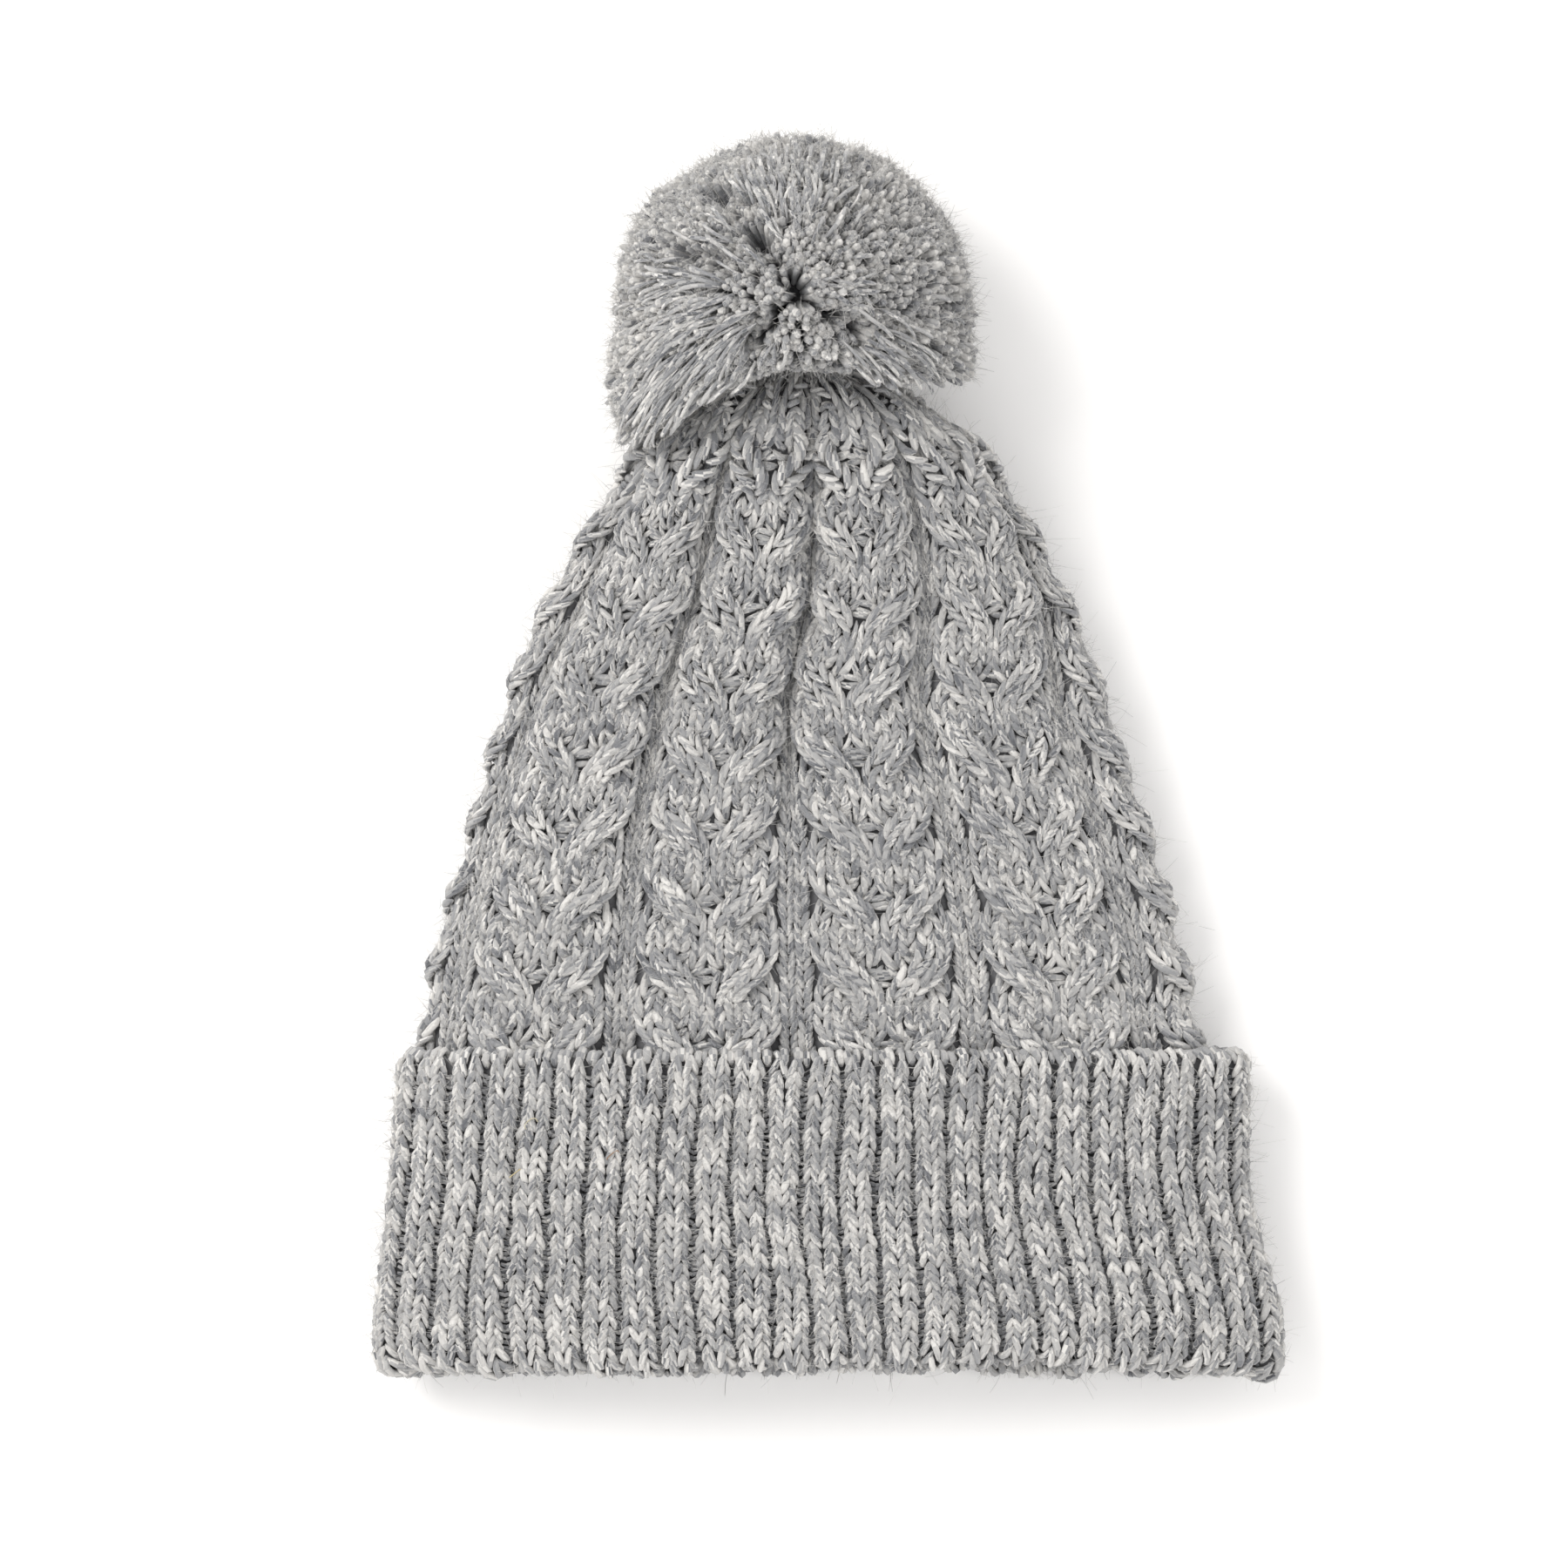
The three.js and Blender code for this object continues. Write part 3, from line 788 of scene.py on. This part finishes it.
# Patches of combed strands: direction from the middle, spread, number, and length in mm
COMBED = [
    ((-0.04, 0.66, 0.75), 0.17, 150, 9.5),
    ((-0.72, 0.08, 0.68), 0.20, 80, 11.0),
    ((-0.66, -0.26, 0.70), 0.20, 130, 12.0),
    ((-0.92, -0.10, 0.38), 0.25, 60, 11.0),
    ((0.34, 0.02, 0.94), 0.09, 26, 8.0),
    ((0.90, 0.22, 0.36), 0.16, 30, 9.0),
    ((0.55, -0.40, 0.74), 0.16, 50, 12.0),
    ((-0.30, -0.40, 0.86), 0.15, 45, 11.0),
    ((-0.70, -0.45, 0.50), 0.20, 50, 11.0),
]


def ball_facts():
    """The ball's centre and radius in mm, and the direction from it to the hat."""
    low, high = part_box("pompom_binding_yarn")
    centre = np.array((low + high) / 2) / MM
    low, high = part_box("pompom_strand_bundle")
    radius = (high.x - low.x) / 2 / MM
    tip = vertices_of("crown_gather_yarn").mean(axis=0)
    return centre, radius, unit(tip - centre)


CENTRE, RADIUS, HAT_SIDE = ball_facts()


def near_direction(direction, towards, spread):
    angle = np.arccos(np.clip(direction @ unit(np.array(towards)), -1, 1))
    return np.exp(-(angle / spread) ** 2)


def ball_directions():
    i = np.arange(STRANDS) + 0.5
    z = 1 - 2 * i / STRANDS
    turn = math.pi * (1 + 5 ** 0.5) * i
    flat = np.sqrt(1 - z ** 2)
    direction = np.stack([flat * np.cos(turn), flat * np.sin(turn), z], -1)
    direction = unit(direction + RANDOM.normal(0, 0.018, direction.shape))
    angle = np.degrees(np.arccos(direction @ HAT_SIDE))
    return direction[angle > TIE_CONE]


def clumped(direction):
    """Directions drawn together in small clumps, as strands of one wrap lie, and each one's clump."""
    pick = direction[RANDOM.choice(len(direction), CLUMPS, replace=False)]
    nearest = np.argmax(direction @ pick.T, axis=1)
    return unit(direction * 0.75 + pick[nearest] * 0.25), nearest


def lobe_pull(direction):
    """How far the tips at these directions hang down to the left and right of the crown, mm."""
    left = near_direction(direction, (-0.82, -0.5, 0.2), 0.42)
    right = near_direction(direction, (0.88, -0.42, 0.2), 0.4)
    return left[:, None] * np.array([-5.5, -16, -5]) + right[:, None] * np.array([4.5, -9.5, -4])


def parted(points):
    """Unit points moved aside from the lines where the strands part, and how bare each one's place is."""
    bare = np.zeros(len(points))
    for start, end, strength, width in PARTINGS:
        start = np.array(start)
        line = np.array(end) - start
        t = np.clip(((points - start) @ line) / (line @ line), 0, 1)
        away = points - start - t[:, None] * line
        gap = np.linalg.norm(away, axis=1)
        push = strength * np.exp(-(gap / width) ** 2)
        points = points + away / np.maximum(gap, 0.01)[:, None] * push[:, None]
        bare = np.maximum(bare, np.exp(-(gap / width) ** 2))
    return points, bare


def ball_lumps(direction):
    """Low lumps all over the ball, as shares of its radius."""
    waves = [(1, 0.013), (1.7, 0.013), (2.6, 0.012), (4.3, 0.010), (6.1, 0.006)]
    return sum(size * np.sin(k * direction @ unit(RANDOM.normal(0, 1, 3)) * 6 + k) for k, size in waves)


def over_rim(tips):
    """Whether the tips stay on the pom pom's side of its rim, which arches over the crown."""
    rim = RIM_TOP - RIM_FALL * (tips[:, 0] - RIM_MIDDLE) ** 2
    return (tips[:, 1] > rim + RANDOM.normal(0, 0.7, len(tips))) | (tips[:, 0] < -35) | (tips[:, 0] > 29)


def clear_of_crown(points, gap):
    """Whether all the points of each strand, [strand, ring, 3], keep gap from the crown's skin."""
    flat = points.reshape(-1, 3)
    shape = smooth_rows(CROWN, np.clip(flat[:, 1], -70, 92))
    across = np.abs(flat[:, 0] - shape[:, 2]) / np.maximum(shape[:, 0] + gap, 0.1)
    up = np.abs(flat[:, 2] - shape[:, 3]) / np.maximum(shape[:, 1] + gap, 0.1)
    inside = (across ** SQUARENESS + up ** SQUARENESS < 1) & (flat[:, 1] < CROWN[-1, 0])
    return ~inside.reshape(points.shape[:2]).any(axis=1)


def turned(points, joint, degrees):
    """The points after a turn about one of the frame's joints."""
    pivot = np.array(joint["pos_m"]) / MM
    turn = np.array(Matrix.Rotation(math.radians(degrees), 3, Vector(joint["axis"])))
    return (points - pivot) @ turn.T + pivot


def clear_in_motion(points, gap):
    """Whether each strand is clear of the crown's stitches at every mix of the joints' limits."""
    clear = np.ones(len(points), bool)
    limits = [(*joint["range_deg"], 0) for joint in frame["joints"]]
    for mix in itertools.product(*limits):
        moved = points
        for joint, degrees in reversed(list(zip(frame["joints"], mix))):
            moved = turned(moved, joint, degrees)
        clear = clear & clear_of_crown(moved, gap)
    return clear


def trimmed(direction, outer, reach, bend):
    """Each strand's reach and bend, cut back to where its tip is clear of the rim and the crown, at
    rest and in motion, and whether it is clear at all."""
    gap = np.where(direction @ HAT_SIDE > 0.5, UNDER_CLEARANCE, SIDE_CLEARANCE)
    share = np.ones(len(reach))
    for shorter in np.arange(0.95, 0.28, -0.05):
        tips = CENTRE + outer * (reach * share)[:, None] + bend * share[:, None] ** 2
        clear = over_rim(tips) & clear_of_crown(tips[:, None], CROWN_CLEARANCE)
        clear = clear & clear_in_motion(tips[:, None], gap)
        share = np.where(clear, share, shorter)
    return reach * share, bend * share[:, None] ** 2, clear


def combed_paths(t):
    """Bent paths that lie along the surface, combed away from the dimple."""
    dimple = unit(np.array([0.03, 0.05, 1]))
    paths = []
    for middle, spread, count, length in COMBED:
        at = unit(unit(np.array(middle)) + RANDOM.normal(0, spread, (count, 3)))
        away = at - dimple
        away = unit(away - at * (away * at).sum(axis=1, keepdims=True) + RANDOM.normal(0, 0.10, (count, 3)))
        size = length * RANDOM.uniform(0.6, 1.15, (count, 1, 1)) / RADIUS
        curl = RANDOM.normal(0, 0.011, (count, 1, 3)) * np.sin(math.pi * t)[:, None]
        line = unit(at[:, None] + away[:, None] * size * (t[:, None] - 0.5) + curl)
        height = 0.892 + 0.072 * np.sin(math.pi * (0.12 + 0.62 * t)) + varied(count, 0.008)
        pull = lobe_pull(line.reshape(-1, 3)).reshape(line.shape)
        paths.append(CENTRE + line * height[..., None] * RADIUS + pull)
    return np.concatenate(paths)


def combed_strands():
    """The combed strands that stay clear of the rim, the crown and the partings."""
    t = np.linspace(0, 1, 8)
    points = combed_paths(t)
    kept = over_rim(points[:, -1]) & over_rim(points[:, 0]) & clear_of_crown(points, CROWN_CLEARANCE)
    points = points[kept]
    bare = np.maximum(parted(unit(points[:, 0] - CENTRE))[1], parted(unit(points[:, 4] - CENTRE))[1])
    points = points[bare < 0.45]
    count = len(points)
    outward = unit(points - CENTRE)
    shape = np.interp(t, [0, 0.2, 0.75, 0.94, 1], [0.6, 0.9, 1.0, 0.95, 0.45])
    wide = RANDOM.uniform(0.36, 0.62, (count, 1)) * shape
    # Painted shade along each combed strand: darker at its end towards the dimple, lighter at its outer
    # end.
    tone = varied(count, 0.09, 0.52) + np.linspace(-0.16, 0.08, 7)
    return points, outward, wide, wide * 0.95, tone, outward[:, -1]


def ball_strands():
    """The cut strands from the binding out: points, normals, widths, heights, tones and directions."""
    direction = ball_directions()
    outer, clump = clumped(direction)
    outer, bare = parted(outer)
    reach = RADIUS * (0.962 + ball_lumps(direction) + RANDOM.normal(0, 0.008, len(direction)) - 0.12 * bare)
    reach = reach * (1 - 0.075 * near_direction(direction, (0, 1, 0), 0.75))
    low = outer[:, 2] < -0.3
    reach = np.where(low, np.minimum(reach, (CENTRE[2] - 1.5) / np.maximum(-outer[:, 2], 0.3)), reach)
    bend = lobe_pull(direction) + RANDOM.normal(0, 0.6, direction.shape) + np.array([0, 0, -1.0])
    reach, bend, kept = trimmed(direction, outer, reach, bend)
    direction, outer, clump, reach, bend = (v[kept] for v in (direction, outer, clump, reach, bend))
    t = np.array([0, 0.4, 0.66, 0.82, 0.92, 0.98, 1])[:, None]
    start = np.minimum(0.5 * RADIUS, 0.4 * reach)[:, None, None]
    spine = direction[:, None] * (1 - t) + outer[:, None] * t
    length = start + (reach[:, None, None] - start) * t
    points = CENTRE + unit(spine) * length + bend[:, None] * t ** 1.2
    kept = clear_of_crown(points[:, 3:], CROWN_CLEARANCE)
    direction, clump, points = (v[kept] for v in (direction, clump, points))
    shape = np.interp(t[:, 0], [0, 0.4, 0.82, 0.92, 0.98, 1], [0.7, 0.9, 0.98, 1.1, 0.86, 0.45])
    wide = RANDOM.uniform(0.78, 1.12, (len(direction), 1)) * shape
    side = np.cross(direction, RANDOM.normal(0, 1, direction.shape))
    normal = np.broadcast_to(unit(side)[:, None], points.shape)
    tone = 0.51 + 0.06 * RANDOM.normal(0, 1, CLUMPS)[clump] + RANDOM.normal(0, 0.11, len(direction))
    # Painted light: strands that point to the left, the side the key lamp lights, are made lighter.
    tone = tone + 0.13 * near_direction(direction, (-0.85, -0.3, 0.4), 0.6)
    # Painted shade along each strand: darker deep in the ball towards the binding, lighter out at the tips.
    fade = np.array([-0.35, -0.28, -0.18, -0.06, 0.06, 0.12])
    return points, normal, wide, wide * 0.92, tone[:, None] + fade, direction


def ball_core():
    """A small ball behind the strands, drawn in towards the hat, near black: painted shade for the pom
    pom's depths.
    """
    latitude = np.linspace(0.02, math.pi - 0.02, 40)[:, None]
    longitude = np.arange(64) * math.tau / 64
    ring = np.stack([np.sin(latitude) * np.cos(longitude), np.sin(latitude) * np.sin(longitude),
                     np.cos(latitude) + 0 * longitude], -1)
    lumps = 0.03 * np.sin(9 * ring[..., 0] + 5 * ring[..., 1]) * np.sin(11 * ring[..., 2])
    size = 0.6 * RADIUS * (1 + lumps) * (1 - 0.62 * np.clip(ring @ HAT_SIDE, 0, 1))
    return CENTRE + ring * size[..., None]


def borne(paths, tips):
    """Whether each combed strand has cut ends of the ball close by all along, and hangs over no hollow."""
    tree = KDTree(len(tips))
    for i, tip in enumerate(tips):
        tree.insert(tip, i)
    tree.balance()
    return np.array([all(tree.find(place)[2] < BORNE_WITHIN for place in path[1::3]) for path in paths])


def pompom_pieces(backing):
    points, normal, wide, high, tone, direction = ball_strands()
    angle = np.arctan2(direction[:, 1], direction[:, 0])
    sector = np.clip(((angle + math.pi) / math.tau * 5).astype(int), 0, 4)
    for k in range(5):
        chosen = sector == k
        part = [v[chosen] for v in (points, normal, wide, high)]
        yarn_piece(f"pompom_strands_{k + 1}", "pompom", "pompom_yarn", *part, 6, tone[chosen], contrast=0.8)
    laid = combed_strands()
    kept = borne(laid[0], points[:, -1])
    laid = [part[kept] for part in laid]
    yarn_piece("pompom_combed_strands", "pompom", "pompom_yarn", *laid[:4], 6, laid[4])
    core = sheet_piece("pompom_core", "pompom", ball_core()[:, ::-1], backing)
    ends = np.concatenate([points[:, -2], points[:, -1], laid[0][:, 3], laid[0][:, 6]])
    ways = np.concatenate([direction, direction, laid[5], laid[5]])
    return ends, ways, core


# ---------- loose fibres ----------

def loose_fibres(name, body, slot, points, normals, count, length, thick):
    """Thin curling fibres that stand off the yarn at some of the points."""
    chosen = RANDOM.choice(len(points), count, replace=count > len(points))
    away = unit(normals[chosen] * 0.55 + unit(RANDOM.normal(0, 1, (count, 3))))
    curl = RANDOM.normal(0, 0.45, (count, 3))
    size = np.minimum(RANDOM.gamma(3, length / 3, count), 2.1 * length)[:, None, None]
    t = np.linspace(0, 1, 4)[:, None]
    centre = points[chosen][:, None] + size * (away[:, None] * t + curl[:, None] * t ** 2)
    side = np.broadcast_to(unit(RANDOM.normal(0, 1, (count, 1, 3))), centre.shape)
    wide = thick * (1 - 0.45 * t[:, 0]) + np.zeros((count, 1))
    yarn_piece(name, body, slot, centre, side, wide, wide, 3, RANDOM.normal(0.85, 0.12, count))


# ---------- label and stray fibres ----------

def label_pieces():
    """A blank tape label, folded double and held by three stitches at each end."""
    low, high = (np.array(corner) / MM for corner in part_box("care_label"))
    middle = (low + high) / 2
    half = (high - low) / 2
    angle = np.arange(32) * math.tau / 32
    along = np.linspace(-1, 1, 24)[:, None]
    across = np.sign(np.cos(angle)) * np.abs(np.cos(angle)) ** 0.35 * half[0] + 0 * along
    up = 0.28 * np.sin(angle) + 0.11 * np.sin(2.6 * along + 0.12 * across)
    grid = np.stack([middle[0] + across, middle[1] + along * half[1] + 0 * across, middle[2] + up], -1)
    label = sheet_piece("label_tape", "hat", grid, woven_material())
    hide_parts("care_label")
    side, end, t = np.meshgrid([-0.8, 0, 0.8], [-1, 1], np.linspace(-1, 1, 6), indexing="ij")
    stitch = np.stack([middle[0] + side * half[0], middle[1] + end * (half[1] - 0.9) + 0.8 * t,
                       middle[2] + 0.42 - 0.32 * t ** 2], -1).reshape(6, 6, 3)
    thread = np.full((6, 6), 0.16)
    upward = np.broadcast_to([0.0, 0.0, 1.0], stitch.shape)
    yarn_piece("label_stitches", "hat", "sewing_yarn", stitch, upward, thread, thread, 5, np.full(6, 0.4))


def stray_fibres(points, normals):
    """A brown and two straw-coloured fibres spun in by chance, at their places on the cuff."""
    low, high = (np.array(corner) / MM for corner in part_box("brim_turned_cuff"))
    colours = [(0.26, 0.15, 0.08), (0.55, 0.46, 0.25), (0.50, 0.45, 0.30)]
    places = [(0.265, 0.70), (0.16, 0.63), (0.17, 0.80)]
    for k, (colour, place) in enumerate(zip(colours, places)):
        goal = low[:2] + np.array(place) * (high - low)[:2]
        front = points[:, 2] > (low[2] + high[2]) / 2
        nearest = np.argmin(np.where(front, np.linalg.norm(points[:, :2] - goal, axis=1), 1e3))
        t = np.linspace(-1, 1, 10)[:, None]
        bend = RANDOM.normal(0, 1, 3)
        line = points[nearest] + normals[nearest] * (0.55 - 0.5 * t ** 2) + np.array([1.3, 0.8, 0]) * t
        line = line + np.array([-0.4, 0.7, 0]) * bend[0] * t ** 2 + np.array([0.5, 0.5, 0]) * np.sin(3 * t)
        material = principled(f"stray_fibre_{k}", colour, 0.9, 0.2)
        fibre_relief(material, 2500, 0.0003)
        wide = np.full((1, 10), 0.13)
        normal = np.repeat(normals[nearest][None, None], 10, 1)
        line_points, faces = tubes(line[None], normal, wide, wide, 5)
        tones = [np.zeros(len(some)) for some in faces]
        make_piece(f"stray_fibre_{k + 1}", "hat", line_points, faces, [material], tones)


# ---------- stage ----------

def make_camera():
    """Straight above, far away with a long lens, so that the outline is nearly parallel. In metres."""
    view_width = 0.378
    distance = 3.2
    data = bpy.data.cameras.new("camera")
    data.sensor_width = 36
    data.lens = 36 * distance / view_width
    data.clip_end = 20
    camera = placed("camera", data)
    camera.location = (-0.0107, -0.0068, distance + 0.02)
    bpy.context.scene.camera = camera


def area_light(name, place, size, power, colour):
    """A round lamp that points at the hat's middle."""
    data = bpy.data.lights.new(name, "AREA")
    data.shape = "DISK"
    data.size = size
    data.energy = power
    data.color = colour
    light = placed(name, data)
    light.location = place
    ahead = Vector((0, 0, 0.02)) - light.location
    light.rotation_euler = ahead.to_track_quat("-Z", "Y").to_euler()


def make_stage():
    mesh = bpy.data.meshes.new("floor")
    size = 6
    corners = [(-size, -size, 0), (size, -size, 0), (size, size, 0), (-size, size, 0)]
    mesh.from_pydata(corners, [], [(0, 1, 2, 3)])
    mesh.materials.append(principled("pale_table", (0.92, 0.912, 0.905), 0.7, 0))
    placed("floor", mesh)
    world = bpy.data.worlds.new("studio")
    world.use_nodes = True
    daylight = {"Color": (1, 0.992, 0.985, 1), "Strength": 1.09}
    set_inputs(world.node_tree.nodes["Background"], daylight)
    bpy.context.scene.world = world
    area_light("key", (-0.9, 0.62, 1.25), 1.0, 18, (1, 0.985, 0.965))
    area_light("fill", (0.9, -0.5, 1.4), 1.4, 3, (0.97, 0.985, 1))


make_camera()
make_stage()
bpy.context.scene.view_settings.view_transform = "Standard"

# The skins behind the stitches are near black, far darker than the yarn: painted shade for the gaps between
# the stitches.
rib_shade = painted_shade_material("rib_fabric_painted_shade", 4 * RIBS, 58)
crown_shade = painted_shade_material("crown_fabric_painted_shade", WALES, 76)
# The pom pom's core is near black: painted shade for the depths between its strands.
core_shade = painted_shade_material("pompom_core_painted_shade", 60, 60, (0.02, 0.021, 0.024), (0.06, 0.06, 0.065))

crown = crown_surface()
crown_tips, crown_normals = crown_pieces(crown)
crown_skin = sheet_piece("crown_fabric", "hat", crown_backing(crown), crown_shade)
(rib_tips, rib_normals), rib_skin = rib_pieces(rib_shade)
strand_ends, strand_ways, core = pompom_pieces(core_shade)

loose_fibres("crown_fibres", "hat", "cable_knit", crown_tips, crown_normals, 24000, 2.8, 0.055)
loose_fibres("cuff_fibres", "hat", "rib_knit", rib_tips, rib_normals, 18000, 2.5, 0.055)
loose_fibres("pompom_fibres", "pompom", "pompom_yarn", strand_ends, strand_ways, 40000, 1.9, 0.06)

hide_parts("crown_shell")
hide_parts("brim_turned_cuff", "brim_inner_band")
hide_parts("pompom_strand_bundle")

label_pieces()
stray_fibres(rib_tips, rib_normals)
plied = plied_material()
for name in frame["nodes"]:
    if name.endswith(("_yarn", "_knot", "_left", "_right")):
        for slot in frame["nodes"][name].material_slots:
            slot.link = "OBJECT"
            slot.material = plied
